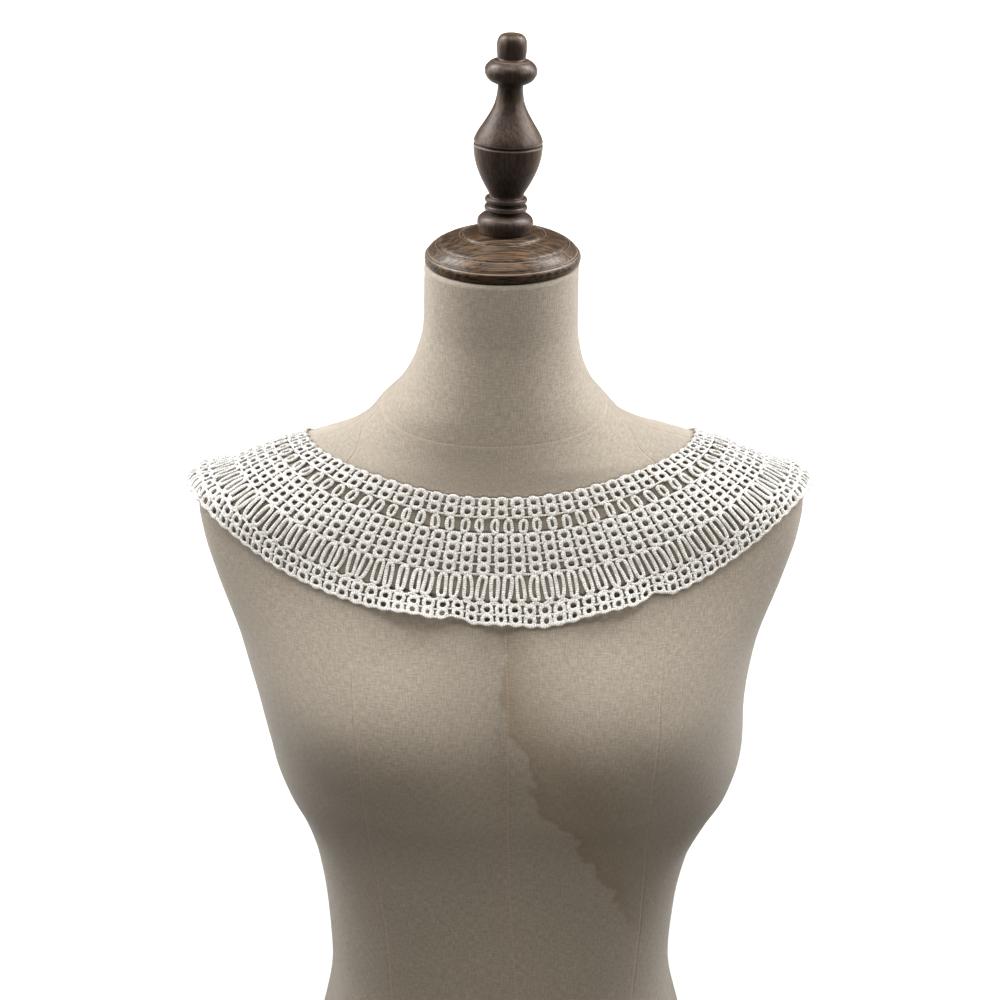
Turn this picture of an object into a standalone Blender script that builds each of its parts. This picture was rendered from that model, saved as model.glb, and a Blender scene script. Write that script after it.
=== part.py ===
"""A lace neck collar laid over the shoulders of a linen-covered dress form.

The form is a limbless torso that stands on its own flat underside, with a turned wooden cap and
finial on its neck. The collar is one open strip of guipure lace that goes all round the shoulders
and meets itself at the centre back. Metres, +Z up, the form faces -Y, origin at the centre of the
underside.
"""

import math

import bmesh
import bpy
import numpy as np
from mathutils import Vector
from mathutils.bvhtree import BVHTree

MM = 0.001
SEAM_GAP = 0.3 * MM
JOIN_DISTANCE = 0.01 * MM
SHARP_ANGLE = math.radians(50)

# Dress form: one row for each level, in millimetres. The power is the squareness of the section,
# 2 for an ellipse, and the shift is how far an old form's padding has moved to its left.
FORM_COLUMNS = ("height", "half_width", "front", "back", "power", "shift")
FORM_SECTIONS = (
    (0, 157, 103, 113, 2.25, 0),
    (45, 161, 104, 117, 2.25, 0),
    (100, 151, 99, 110, 2.2, 0),
    (160, 127, 91, 92, 2.15, 0),
    (212, 118, 88, 83, 2.15, -0.5),
    (255, 120.5, 90, 82, 2.15, 0),
    (300, 128, 95, 86, 2.15, 1.5),
    (330, 140, 99, 91, 2.1, 4),
    (350, 150.5, 102, 95, 2.08, 5),
    (380, 158, 107, 100, 2.12, 4.4),
    (425, 161.5, 106, 106, 2.35, 0.8),
    (468, 169.8, 100, 107, 2.45, -1),
    (512, 186, 89, 103, 2.5, -0.4),
    (540, 194, 80, 94, 2.55, 0),
    (556, 196, 75.5, 86, 2.55, 0),
    (567, 194, 71.5, 77, 2.45, 0),
    (573, 184.5, 69.5, 71.5, 2.3, 0),
    (579, 172, 67.5, 66.5, 2.15, 0),
    (586, 156, 65.5, 61.5, 2.05, 0),
    (595, 129, 63, 57.5, 2, 0),
    (603, 101, 61, 56, 2, -2.2),
    (613, 83, 59, 55.5, 2, -4.2),
    (624, 73, 57, 55, 2, -4.4),
    (638, 60.5, 54.5, 53.5, 2, -3),
    (655, 52.8, 51.5, 51.5, 2, -1.6),
    (675, 49, 49, 49, 2, -0.3),
    (715, 48.5, 48.5, 48.5, 2, 0.4),
)
NECK_TOP = 715 * MM

BUST_HEIGHT = 443 * MM
BUST_APART = 86 * MM
BUST_DEPTH = 46 * MM
BUST_SPREAD_SIDE = 66 * MM
BUST_SPREAD_UP = 45 * MM
BUST_SPREAD_DOWN = 54 * MM

# Collar: the neckline as it lies on the form, seen from above.
NECKLINE_HALF_WIDTH = 126 * MM
NECKLINE_FRONT = 88.5 * MM
NECKLINE_BACK = 54 * MM
NECKLINE_SET_BACK = 22 * MM
NECKLINE_POWER = 2.35

# Collar: distances from the neck edge, and how many rings, ovals and loops go all round. A ring
# lies at the centre front, and so does a gap between two ovals and between two loops.
NECK_BAND_END = 12.2 * MM
OVAL_BAND_END = 22.4 * MM
RING_BAND_END = 48.2 * MM
LOOP_BAND_END = 65.4 * MM
HEM = 80.6 * MM
NECK_RINGS = 67
SMALL_OVALS = 82
TALL_LOOPS = 114
HEM_RINGS = 109
OVAL_WIDTH_SHARE = 0.52
LOOP_WIDTH_SHARE = 0.64
SCALLOP_DEPTH = 1.1 * MM
LACE_THICKNESS = 1.8 * MM
LACE_CLEARANCE = 0.75 * MM
BACK_OPENING = 3 * MM
STRIP_STEP = 1.5 * MM
STRIP_POINTS = 181
NORMAL_SMOOTHING = 4
ROW_SMOOTHING = 2

# Places where the hem stands off the form, and others where it is pulled up towards the neck.
# Each place is measured along the hem from the centre front, to the wearer's left, with the
# reach to either side and the most that the hem moves, in millimetres.
SWELL_COLUMNS = ("place", "reach", "most")
HEM_WAVES = (
    (-52, 38, 7),
    (0, 15, 4),
    (70, 34, 4),
    (266, 80, 7),
    (-268, 90, 9.5),
    (402, 46, 5),
    (520, 44, 6.5),
    (-418, 50, 6),
    (-536, 30, 4),
)
HEM_PULLS = (
    (-29, 14, 3.5),
    (30, 30, -2.6),
    (98, 13, 4),
    (188, 85, 2.5),
)
WAVE_ROOT = 46 * MM

# Turned wood: radius and height of each point of the outline, in millimetres.
CAP_OUTLINE = (
    (0, 0),
    (47.5, 0),
    (49, 1.5),
    (49, 5.5),
    (47.6, 7.3),
    (42, 12.2),
    (41, 12),
    (40, 13.3),
    (26.6, 18.1),
    (25.6, 17.8),
    (24.6, 19),
    (18.5, 20),
    (0, 20),
)
CAP_PLACE = 1 * MM
FINIAL_OUTLINE = (
    (0, -2),
    (16.4, -2),
    (17.4, 2.5),
    (17.6, 6),
    (16, 9.4),
    (11.4, 12),
    (13, 14),
    (13, 16.2),
    (11.6, 17.6),
    (13, 19.2),
    (13, 21.4),
    (11, 24.2),
    (15.6, 32),
    (18.8, 39.4),
    (21, 47.3),
    (21.4, 54.2),
    (20.3, 55.7),
    (21.2, 57.2),
    (19.4, 62),
    (14.8, 69),
    (10.5, 76.5),
    (8.4, 83.8),
    (7.9, 92),
    (13, 94.6),
    (16.2, 100),
    (13, 105.7),
    (8.4, 107.8),
    (9.1, 113.3),
    (8, 118.6),
    (5, 121.6),
    (0, 122.6),
)
FINIAL_PLACE = 2.4 * MM
FINIAL_LEAN_LEFT = math.radians(2.1)
FINIAL_LEAN_BACK = math.radians(1.5)
LEVEL_CUT_SIZE = 30 * MM

# How finely each piece is made: levels and points around, or sides.
TORSO_GRID = (38, 40)
GUIDE_GRID = (400, 256)
OUTLINE_POINTS = 2000
NECKLINE_POINTS = 724
CAP_SIDES = 32
FINIAL_SIDES = 24


def clear_scene():
    for old in list(bpy.data.objects):
        bpy.data.objects.remove(old)


def finish(name, colour, roughness):
    material = bpy.data.materials.new(name)
    material.use_nodes = True
    shader = material.node_tree.nodes["Principled BSDF"]
    shader.inputs["Base Color"].default_value = (*colour, 1)
    shader.inputs["Roughness"].default_value = roughness
    shader.inputs["Metallic"].default_value = 0
    return material


def mesh_object(name, mesh, material, collection):
    made = bpy.data.objects.new(name, mesh)
    made.data.materials.append(material)
    collection.objects.link(made)
    return made


# Dress form


def smooth_through(places, values, where):
    """A monotone cubic through the table's points, so that no level overshoots its neighbours."""
    places = np.asarray(places, float)
    values = np.asarray(values, float)
    step = np.diff(places)
    rise = np.diff(values) / step
    slope = np.zeros(len(places))
    slope[0] = rise[0]
    slope[-1] = rise[-1]
    for i in range(1, len(places) - 1):
        if rise[i - 1] * rise[i] > 0:
            before = 2 * step[i] + step[i - 1]
            after = step[i] + 2 * step[i - 1]
            slope[i] = (before + after) / (before / rise[i - 1] + after / rise[i])
    cell = np.clip(np.searchsorted(places, where) - 1, 0, len(step) - 1)
    t = (where - places[cell]) / step[cell]
    return (
        (1 + 2 * t) * (1 - t) ** 2 * values[cell]
        + t * (1 - t) ** 2 * step[cell] * slope[cell]
        + t**2 * (3 - 2 * t) * values[cell + 1]
        - t**2 * (1 - t) * step[cell] * slope[cell + 1]
    )


def form_section(height):
    """Half width, front depth, back depth, power and shift of the form at these heights."""
    table = np.array(FORM_SECTIONS, float)
    columns = {name: table[:, i] for i, name in enumerate(FORM_COLUMNS)}
    sizes = [
        smooth_through(columns["height"], columns[name], height / MM)
        for name in FORM_COLUMNS[1:]
    ]
    return sizes[0] * MM, sizes[1] * MM, sizes[2] * MM, sizes[3], sizes[4] * MM


def bust_swell(x, height):
    """How far the front stands out for the bust at this place across the form."""
    up = (height - BUST_HEIGHT) / np.where(
        height > BUST_HEIGHT, BUST_SPREAD_UP, BUST_SPREAD_DOWN
    )
    across = (np.abs(x) - BUST_APART) / BUST_SPREAD_SIDE
    return BUST_DEPTH * np.exp(-0.5 * up**2) * np.exp(-0.5 * across**2)


def form_points(angle, height):
    """Points of the form's surface. The angle runs from the front, 0, past the left side."""
    half_width, front, back, power, shift = form_section(height)
    side = np.sin(angle)
    ahead = np.cos(angle)
    x = half_width * np.sign(side) * np.abs(side) ** (2 / power)
    depth = np.where(ahead > 0, front, back)
    y = -depth * np.sign(ahead) * np.abs(ahead) ** (2 / power)
    facing_front = np.clip(ahead, 0, 1) ** 0.5
    y = y - bust_swell(x, height) * facing_front
    return np.stack([x + shift, y, height + 0 * x], axis=-1)


def form_levels(count):
    """Heights that are evenly spaced along the form's side outline, closer on the shoulders."""
    fine = np.linspace(0, NECK_TOP, OUTLINE_POINTS)
    half_width = form_section(fine)[0]
    run = np.hypot(np.diff(half_width), np.diff(fine))
    length = np.concatenate([[0], np.cumsum(run)])
    return np.interp(np.linspace(0, length[-1], count), length, fine)


def form_mesh(name, levels, around):
    """The closed torso: rings of points joined by faces, with a flat cap at either end."""
    heights = form_levels(levels)
    angles = np.linspace(0, 2 * math.pi, around, endpoint=False)
    grid = form_points(angles[None, :], heights[:, None])
    shape = bmesh.new()
    rings = [[shape.verts.new(point) for point in ring] for ring in grid]
    for low, high in zip(rings, rings[1:]):
        for i in range(around):
            j = (i + 1) % around
            shape.faces.new((low[i], low[j], high[j], high[i]))
    shape.faces.new(rings[0])
    shape.faces.new(rings[-1])
    bmesh.ops.recalc_face_normals(shape, faces=shape.faces)
    mesh = bpy.data.meshes.new(name)
    shape.to_mesh(mesh)
    shape.free()
    mesh.shade_smooth()
    mesh.set_sharp_from_angle(angle=SHARP_ANGLE)
    return mesh


# Turned wood


def turned(name, outline, place, base, sides, material, collection):
    """A Screw modifier turns the outline about Z. It runs from the top down its outer side."""
    shape = bmesh.new()
    points = [
        shape.verts.new((radius * MM, 0, height * MM))
        for radius, height in reversed(outline)
    ]
    for a, b in zip(points, points[1:]):
        shape.edges.new((a, b))
    mesh = bpy.data.meshes.new(name)
    shape.to_mesh(mesh)
    shape.free()
    made = mesh_object(name, mesh, material, collection)
    made.location = (place, 0, base)
    screw = made.modifiers.new("turn", "SCREW")
    screw.steps = sides
    screw.render_steps = sides
    screw.use_merge_vertices = True
    screw.merge_threshold = JOIN_DISTANCE
    screw.use_smooth_shade = True
    return made


def level_underside(made, height, cutters):
    """Cuts a leaning piece level where it sits on the one under it."""
    shape = bmesh.new()
    bmesh.ops.create_cube(shape, size=2 * LEVEL_CUT_SIZE)
    mesh = bpy.data.meshes.new("level_cut")
    shape.to_mesh(mesh)
    shape.free()
    cutter = bpy.data.objects.new("level_cut", mesh)
    cutter.location = (0, 0, height - LEVEL_CUT_SIZE)
    cutter.hide_render = True
    cutter.display_type = "WIRE"
    cutters.objects.link(cutter)
    cut = made.modifiers.new("level underside", "BOOLEAN")
    cut.operation = "DIFFERENCE"
    cut.object = cutter
    cut.solver = "EXACT"
    return cutter


# Collar


def spread_evenly(points, count):
    """The same line through this many points, all the same distance apart."""
    run = np.linalg.norm(np.diff(points, axis=0), axis=1)
    length = np.concatenate([[0], np.cumsum(run)])
    where = np.linspace(0, length[-1], count)
    return np.stack([np.interp(where, length, points[:, i]) for i in range(3)], axis=1)


def on_surface(surface, points):
    """The nearest points of the surface, and its normals there."""
    found = [surface.find_nearest(Vector(point)) for point in points]
    places = np.array([hit[0] for hit in found])
    normals = np.array([hit[1] for hit in found])
    return places, normals


def softened(values):
    """One pass of smoothing along a row, with the ends mirrored in the centre plane."""
    mirror = np.array([-1, 1, 1])
    padded = np.concatenate([[values[1] * mirror], values, [values[-2] * mirror]])
    return (padded[:-2] + 2 * padded[1:-1] + padded[2:]) / 4


def neckline(surface, count):
    """The neck edge on the form's left half, from the centre front to the centre back."""
    angle = np.linspace(0, math.pi, NECKLINE_POINTS)
    ahead = np.cos(angle)
    share = 2 / NECKLINE_POWER
    depth = np.where(ahead > 0, NECKLINE_FRONT, NECKLINE_BACK)
    x = NECKLINE_HALF_WIDTH * np.sin(angle) ** share
    y = NECKLINE_SET_BACK - depth * np.sign(ahead) * np.abs(ahead) ** share
    down = Vector((0, 0, -1))
    hits = [surface.ray_cast(Vector((a, b, NECK_TOP)), down)[0] for a, b in zip(x, y)]
    return spread_evenly(np.array(hits), count)


class DrapedStrip:
    """The left half of the collar as a grid on the form: rows one step apart from the neck edge
    to the hem, each with evenly spaced points from the centre front to the centre back."""

    def __init__(self, surface):
        rows = math.ceil(HEM / STRIP_STEP) + 3
        line = neckline(surface, STRIP_POINTS)
        grid = []
        normals = []
        for _ in range(rows):
            line, up = on_surface(surface, line)
            line = self.centred(line)
            for _ in range(NORMAL_SMOOTHING):
                up = softened(up)
            up /= np.linalg.norm(up, axis=1)[:, None]
            grid.append(line)
            normals.append(up)
            line = spread_evenly(self.next_row(line, up), STRIP_POINTS)
        self.grid = np.array(grid)
        self.normals = np.array(normals)
        self.row_lengths = np.linalg.norm(np.diff(self.grid, axis=1), axis=2).sum(axis=1)

    @staticmethod
    def centred(line):
        line[[0, -1], 0] = 0
        return line

    def next_row(self, line, up):
        """The row moved one step away from the neck, square to itself along the surface."""
        along = np.gradient(line, axis=0)
        along[[0, -1]] = (1, 0, 0), (-1, 0, 0)
        out = np.cross(along, up)
        out /= np.linalg.norm(out, axis=1)[:, None]
        moved = line + STRIP_STEP * out
        for _ in range(ROW_SMOOTHING):
            moved[1:-1] = softened(moved)[1:-1]
        return self.centred(moved)

    def length_at(self, away):
        """Half the way round at these distances from the neck edge."""
        return np.interp(away, STRIP_STEP * np.arange(len(self.grid)), self.row_lengths)

    def trimmed(self, shares, away):
        """Shares of the half way round, fitted between the front seam and the back opening."""
        length = self.length_at(away)
        return (SEAM_GAP / 2 + shares * (length - SEAM_GAP / 2 - BACK_OPENING / 2)) / length

    def lookup(self, values, along, away):
        """Values of the grid between its points."""
        row = np.clip(away / STRIP_STEP, 0, len(values) - 1.001)
        column = np.clip(along, 0, 1) * (STRIP_POINTS - 1)
        r = np.floor(row).astype(int)
        c = np.minimum(np.floor(column).astype(int), STRIP_POINTS - 2)
        fr = (row - r)[:, None]
        fc = (column - c)[:, None]
        near = values[r, c] * (1 - fc) + values[r, c + 1] * fc
        far = values[r + 1, c] * (1 - fc) + values[r + 1, c + 1] * fc
        return near * (1 - fr) + far * fr

    @staticmethod
    def swells(table, place):
        """The sum of the table's rounded swells, at these places along the hem."""
        total = np.zeros(len(place))
        for row in table:
            swell = dict(zip(SWELL_COLUMNS, row))
            share = (place - swell["place"] * MM) / (swell["reach"] * MM)
            bump = np.cos(np.clip(share, -1, 1) * math.pi / 2) ** 2
            total += swell["most"] * MM * bump
        return total

    def points(self, side, along, away, lift):
        """Points on or above the form. Side is 1 on the left half, and along runs from 0 at the
        centre front to 1 at the centre back. Where the hem lifts it reaches less far, because
        the lace keeps its length: the lift is a parabola, which takes up two thirds of lift
        squared over its width."""
        along = np.asarray(along, float)
        away = np.broadcast_to(np.asarray(away, float), along.shape)
        hem_place = side * along * self.length_at(HEM)
        hem_lift = self.swells(HEM_WAVES, hem_place)
        hem_pull = self.swells(HEM_PULLS, hem_place)
        width = HEM - WAVE_ROOT
        share = np.clip((away - WAVE_ROOT) / width, 0, 1)
        taken_up = 2 / 3 * hem_lift**2 / width * share**3 + hem_pull * share**2
        place = self.lookup(self.grid, along, away - taken_up)
        up = self.lookup(self.normals, along, away - taken_up)
        up /= np.linalg.norm(up, axis=1)[:, None]
        made = place + up * (lift + hem_lift * share**2)[:, None]
        made[:, 0] = np.maximum(made[:, 0], 0) * side
        return made


def bars(all_round, width_share):
    """The start and end of each bar between the gaps of one half. The first gap lies half on
    this half, and a narrow bar closes the band at the back opening."""
    pitch = 2 / all_round
    half = pitch * width_share / 2
    centres = np.append((np.arange(all_round // 2) + 0.5) * pitch, 1)
    return np.clip(np.stack([centres - half, centres + half], axis=1), 0, 1).ravel()


def scalloped(all_round):
    """Places along an edge, at the middles and joints of its rings, and how far the joints lie
    back from the edge line."""
    places = np.linspace(0, 1, all_round + 1)
    return places, SCALLOP_DEPTH * (np.arange(all_round + 1) % 2)


class LaceSheet:
    """Collects the rows of points of one half, and the faces between them."""

    def __init__(self, strip, side):
        self.strip = strip
        self.side = side
        self.shape = bmesh.new()

    def row(self, shares, away):
        """Points at these shares of the half way round, each with its share."""
        along = self.strip.trimmed(shares, away)
        lift = np.full(len(shares), LACE_CLEARANCE)
        placed = self.strip.points(self.side, along, away, lift)
        return list(zip(shares, [self.shape.verts.new(point) for point in placed]))

    def face(self, corners):
        """A face whose normal points away from the form, on either half."""
        self.shape.faces.new(corners if self.side < 0 else corners[::-1])

    def cloth(self, upper, lower):
        """Triangles between two rows, taking the nearer next point of either row in turn."""
        i = j = 0
        while i < len(upper) - 1 or j < len(lower) - 1:
            next_upper = upper[i + 1][0] if i < len(upper) - 1 else 2
            next_lower = lower[j + 1][0] if j < len(lower) - 1 else 2
            if next_upper <= next_lower:
                self.face((upper[i][1], upper[i + 1][1], lower[j][1]))
                i += 1
            else:
                self.face((upper[i][1], lower[j + 1][1], lower[j][1]))
                j += 1

    def gaps(self, upper, lower):
        """Faces on the bars only: each bar is the pair of points at its two edges."""
        for k in range(0, len(upper), 2):
            self.face((upper[k][1], upper[k + 1][1], lower[k + 1][1], lower[k][1]))

    def mesh(self, name):
        made = bpy.data.meshes.new(name)
        self.shape.to_mesh(made)
        self.shape.free()
        return made


def lace_half(name, strip, side, material, collection):
    """One half of the collar: solid bands of small rings, and two bands cut through between the
    bars of its ovals and loops."""
    sheet = LaceSheet(strip, side)
    ovals = bars(SMALL_OVALS, OVAL_WIDTH_SHARE)
    loops = bars(TALL_LOOPS, LOOP_WIDTH_SHARE)
    plain = np.linspace(0, 1, TALL_LOOPS // 2 + 1)
    neck_places, neck_scallop = scalloped(NECK_RINGS)
    hem_places, hem_scallop = scalloped(HEM_RINGS)

    neck_edge = sheet.row(neck_places, neck_scallop)
    neck_middle = sheet.row(neck_places, NECK_BAND_END / 2)
    oval_top = sheet.row(ovals, NECK_BAND_END)
    oval_foot = sheet.row(ovals, OVAL_BAND_END)
    ring_third = (RING_BAND_END - OVAL_BAND_END) / 3
    ring_upper = sheet.row(plain, OVAL_BAND_END + ring_third)
    ring_lower = sheet.row(plain, OVAL_BAND_END + 2 * ring_third)
    loop_top = sheet.row(loops, RING_BAND_END)
    loop_middle = sheet.row(loops, (RING_BAND_END + LOOP_BAND_END) / 2)
    loop_foot = sheet.row(loops, LOOP_BAND_END)
    hem_middle = sheet.row(hem_places, (LOOP_BAND_END + HEM) / 2)
    hem = sheet.row(hem_places, HEM - hem_scallop)

    sheet.cloth(neck_edge, neck_middle)
    sheet.cloth(neck_middle, oval_top)
    sheet.gaps(oval_top, oval_foot)
    sheet.cloth(oval_foot, ring_upper)
    sheet.cloth(ring_upper, ring_lower)
    sheet.cloth(ring_lower, loop_top)
    sheet.gaps(loop_top, loop_middle)
    sheet.gaps(loop_middle, loop_foot)
    sheet.cloth(loop_foot, hem_middle)
    sheet.cloth(hem_middle, hem)

    made = mesh_object(name, sheet.mesh(name), material, collection)
    wall = made.modifiers.new("wall", "SOLIDIFY")
    wall.thickness = LACE_THICKNESS
    wall.offset = 1
    return made


def centre_on_origin(objects, cutters):
    """Moves everything together so that the whole part's box is centred on the Z axis."""
    graph = bpy.context.evaluated_depsgraph_get()
    corners = []
    for made in objects:
        evaluated = made.evaluated_get(graph)
        corners += [evaluated.matrix_world @ Vector(c) for c in evaluated.bound_box]
    corners = np.array(corners)
    middle = (corners.min(axis=0) + corners.max(axis=0)) / 2
    for made in objects + cutters:
        made.location -= Vector((middle[0], middle[1], 0))


def main():
    clear_scene()
    collection = bpy.data.collections.new("lace collar on a dress form")
    bpy.context.scene.collection.children.link(collection)
    cutters = bpy.data.collections.new("cutters")
    bpy.context.scene.collection.children.link(cutters)
    linen = finish("linen", (0.42, 0.38, 0.32), 0.9)
    wood = finish("dark stained wood", (0.09, 0.05, 0.03), 0.4)
    cotton = finish("white cotton lace", (0.86, 0.85, 0.82), 0.85)

    torso = mesh_object("torso", form_mesh("torso", *TORSO_GRID), linen, collection)
    cap_base = NECK_TOP + SEAM_GAP
    cap = turned("neck_cap", CAP_OUTLINE, CAP_PLACE, cap_base, CAP_SIDES, wood, collection)
    cap_height = CAP_OUTLINE[-1][1] * MM
    finial_base = cap_base + cap_height + SEAM_GAP
    finial = turned(
        "finial", FINIAL_OUTLINE, FINIAL_PLACE, finial_base, FINIAL_SIDES, wood, collection
    )
    finial.rotation_euler = (-FINIAL_LEAN_BACK, FINIAL_LEAN_LEFT, 0)
    level_cut = level_underside(finial, finial_base, cutters)

    guide = form_mesh("guide", *GUIDE_GRID)
    surface = BVHTree.FromPolygons(
        [v.co.copy() for v in guide.vertices], [tuple(p.vertices) for p in guide.polygons]
    )
    bpy.data.meshes.remove(guide)
    strip = DrapedStrip(surface)
    left = lace_half("collar_left", strip, 1, cotton, collection)
    right = lace_half("collar_right", strip, -1, cotton, collection)

    bpy.context.view_layer.update()
    centre_on_origin([torso, cap, finial, left, right], [level_cut])


main()
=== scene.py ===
import math

import bpy
import numpy as np
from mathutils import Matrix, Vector
from mathutils.bvhtree import BVHTree


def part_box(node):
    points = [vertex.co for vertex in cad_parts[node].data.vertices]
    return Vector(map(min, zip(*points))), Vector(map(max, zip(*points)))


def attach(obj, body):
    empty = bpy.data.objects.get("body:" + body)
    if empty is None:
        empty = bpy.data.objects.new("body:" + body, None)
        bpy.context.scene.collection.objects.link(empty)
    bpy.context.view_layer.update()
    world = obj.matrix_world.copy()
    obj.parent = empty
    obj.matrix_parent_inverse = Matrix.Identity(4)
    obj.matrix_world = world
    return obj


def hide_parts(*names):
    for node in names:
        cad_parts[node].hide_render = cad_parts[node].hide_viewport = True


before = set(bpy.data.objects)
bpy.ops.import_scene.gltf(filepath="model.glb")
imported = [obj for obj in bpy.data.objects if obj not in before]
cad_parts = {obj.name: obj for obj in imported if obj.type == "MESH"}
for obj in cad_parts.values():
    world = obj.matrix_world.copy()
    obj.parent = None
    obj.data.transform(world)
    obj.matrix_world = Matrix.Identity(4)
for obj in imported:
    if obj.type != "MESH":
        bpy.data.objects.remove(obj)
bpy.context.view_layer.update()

MM = 0.001
HAND = np.random.default_rng(7)

# Dress form, as in the part: one row for each level, in millimetres.
FORM_COLUMNS = ("height", "half_width", "front", "back", "power", "shift")
FORM_SECTIONS = (
    (0, 157, 103, 113, 2.25, 0),
    (45, 161, 104, 117, 2.25, 0),
    (100, 151, 99, 110, 2.2, 0),
    (160, 127, 91, 92, 2.15, 0),
    (212, 118, 88, 83, 2.15, -0.5),
    (255, 120.5, 90, 82, 2.15, 0),
    (300, 128, 95, 86, 2.15, 1.5),
    (330, 140, 99, 91, 2.1, 4),
    (350, 150.5, 102, 95, 2.08, 5),
    (380, 158, 107, 100, 2.12, 4.4),
    (425, 161.5, 106, 106, 2.35, 0.8),
    (468, 169.8, 100, 107, 2.45, -1),
    (512, 186, 89, 103, 2.5, -0.4),
    (540, 194, 80, 94, 2.55, 0),
    (556, 196, 75.5, 86, 2.55, 0),
    (567, 194, 71.5, 77, 2.45, 0),
    (573, 184.5, 69.5, 71.5, 2.3, 0),
    (579, 172, 67.5, 66.5, 2.15, 0),
    (586, 156, 65.5, 61.5, 2.05, 0),
    (595, 129, 63, 57.5, 2, 0),
    (603, 101, 61, 56, 2, -2.2),
    (613, 83, 59, 55.5, 2, -4.2),
    (624, 73, 57, 55, 2, -4.4),
    (638, 60.5, 54.5, 53.5, 2, -3),
    (655, 52.8, 51.5, 51.5, 2, -1.6),
    (675, 49, 49, 49, 2, -0.3),
    (715, 48.5, 48.5, 48.5, 2, 0.4),
)
NECK_TOP = 715 * MM
BUST_HEIGHT = 443 * MM
BUST_APART = 86 * MM
BUST_DEPTH = 46 * MM
BUST_SPREAD_SIDE = 66 * MM
BUST_SPREAD_UP = 45 * MM
BUST_SPREAD_DOWN = 54 * MM

# Seams of the linen cover: height and place across the form, in millimetres.
CENTRE_FRONT_SEAM = (
    (0, 12), (228, 10.7), (259, 8.6), (310, 5.9), (363, 4.5), (424, 4.4), (462, 4.4),
    (498, 3.1), (546, 1.2), (594, 0.6), (640, 0.6),
)
RIGHT_FRONT_SEAM = (
    (0, -72), (216, -74.7), (264, -76.4), (298, -80.3), (349, -85.5), (404, -87.1),
    (435, -88.5), (468, -90.9), (488, -92.1), (503, -96.5), (517, -102.8), (560, -112),
    (590, -104),
)
LEFT_FRONT_SEAM = (
    (0, 86), (209, 89.6), (264, 93.8), (312, 95.3), (361, 94.5), (403, 94.8), (436, 96.9),
    (466, 98.6), (487, 99.8), (508, 104.1), (518, 106.6), (560, 112), (590, 104),
)
BACK_SEAM = ((0, 78), (100, 74), (212, 62), (350, 70), (468, 82), (556, 96), (590, 100))
NECK_SEAM_FRONT = 613.7 * MM
NECK_SEAM_RISE = 17 * MM
SEAM_DEPTH = 0.35 * MM
NECK_SEAM_DEPTH = 0.12 * MM
SEAM_STEPS = (0.0, 0.55 * MM, 1.2 * MM)
COVER_LEVELS = 236
PANEL_POINTS = (38, 38, 42, 42, 42, 42, 38, 38)

# The water stain's scalloped edge, from below the collar down to the side, and where it fades.
STAIN_EDGE = (
    (1, 530), (1.9, 503.1), (3.1, 486.4), (1.2, 473.5), (3.1, 456.9), (6.9, 444.7),
    (15.7, 436.4), (18.9, 421.7), (18.9, 409.4), (24.6, 398), (27.9, 385.2), (37.5, 378),
    (47.1, 369.7), (49.5, 349.7), (60.3, 334), (70.1, 317.1), (76.1, 299.7), (83.4, 283.3),
    (90.1, 270), (101.5, 249.1), (112, 228),
)
STAIN_SOFT_SIDE = 34 * MM
STAIN_SOFT_FOOT = 75 * MM
STAIN_FADE = ((530, 16), (500, 24), (464, 40), (440, 66), (398, 92), (330, 108), (228, 120))

# Collar, as in the part.
NECKLINE_HALF_WIDTH = 126 * MM
NECKLINE_FRONT = 88.5 * MM
NECKLINE_BACK = 54 * MM
NECKLINE_SET_BACK = 22 * MM
NECKLINE_POWER = 2.35
UPPER_END = 22.8 * MM
MIDDLE_END = 48.8 * MM
HEM = 80.6 * MM
LACE_MIDDLE = 1.65 * MM
BACK_OPENING = 3 * MM
STRIP_STEP = 1.5 * MM
STRIP_POINTS = 181
CORD_SIDES = 8
LINE_SIDES = 6
RING_CORD = 1.42 * MM
HEM_WAVES = (
    (-52, 38, 7),
    (0, 15, 4),
    (70, 34, 4),
    (266, 80, 7),
    (-268, 90, 9.5),
    (402, 46, 5),
    (520, 44, 6.5),
    (-418, 50, 6),
    (-536, 30, 4),
)
HEM_PULLS = (
    (-29, 14, 3.5),
    (30, 30, -2.6),
    (98, 13, 4),
    (188, 85, 2.5),
)
WAVE_ROOT = 46 * MM


def smooth_through(places, values, where):
    """A monotone cubic through the table's points."""
    places = np.asarray(places, float)
    values = np.asarray(values, float)
    step = np.diff(places)
    rise = np.diff(values) / step
    slope = np.zeros(len(places))
    slope[0] = rise[0]
    slope[-1] = rise[-1]
    for i in range(1, len(places) - 1):
        if rise[i - 1] * rise[i] > 0:
            before = 2 * step[i] + step[i - 1]
            after = step[i] + 2 * step[i - 1]
            slope[i] = (before + after) / (before / rise[i - 1] + after / rise[i])
    cell = np.clip(np.searchsorted(places, where) - 1, 0, len(step) - 1)
    t = (where - places[cell]) / step[cell]
    return (
        (1 + 2 * t) * (1 - t) ** 2 * values[cell]
        + t * (1 - t) ** 2 * step[cell] * slope[cell]
        + t**2 * (3 - 2 * t) * values[cell + 1]
        - t**2 * (1 - t) * step[cell] * slope[cell + 1]
    )


def form_section(height):
    """Half width, front depth, back depth, power and shift of the form at these heights."""
    table = np.array(FORM_SECTIONS, float)
    columns = {name: table[:, i] for i, name in enumerate(FORM_COLUMNS)}
    sizes = [
        smooth_through(columns["height"], columns[name], height / MM)
        for name in FORM_COLUMNS[1:]
    ]
    return sizes[0] * MM, sizes[1] * MM, sizes[2] * MM, sizes[3], sizes[4] * MM


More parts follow.
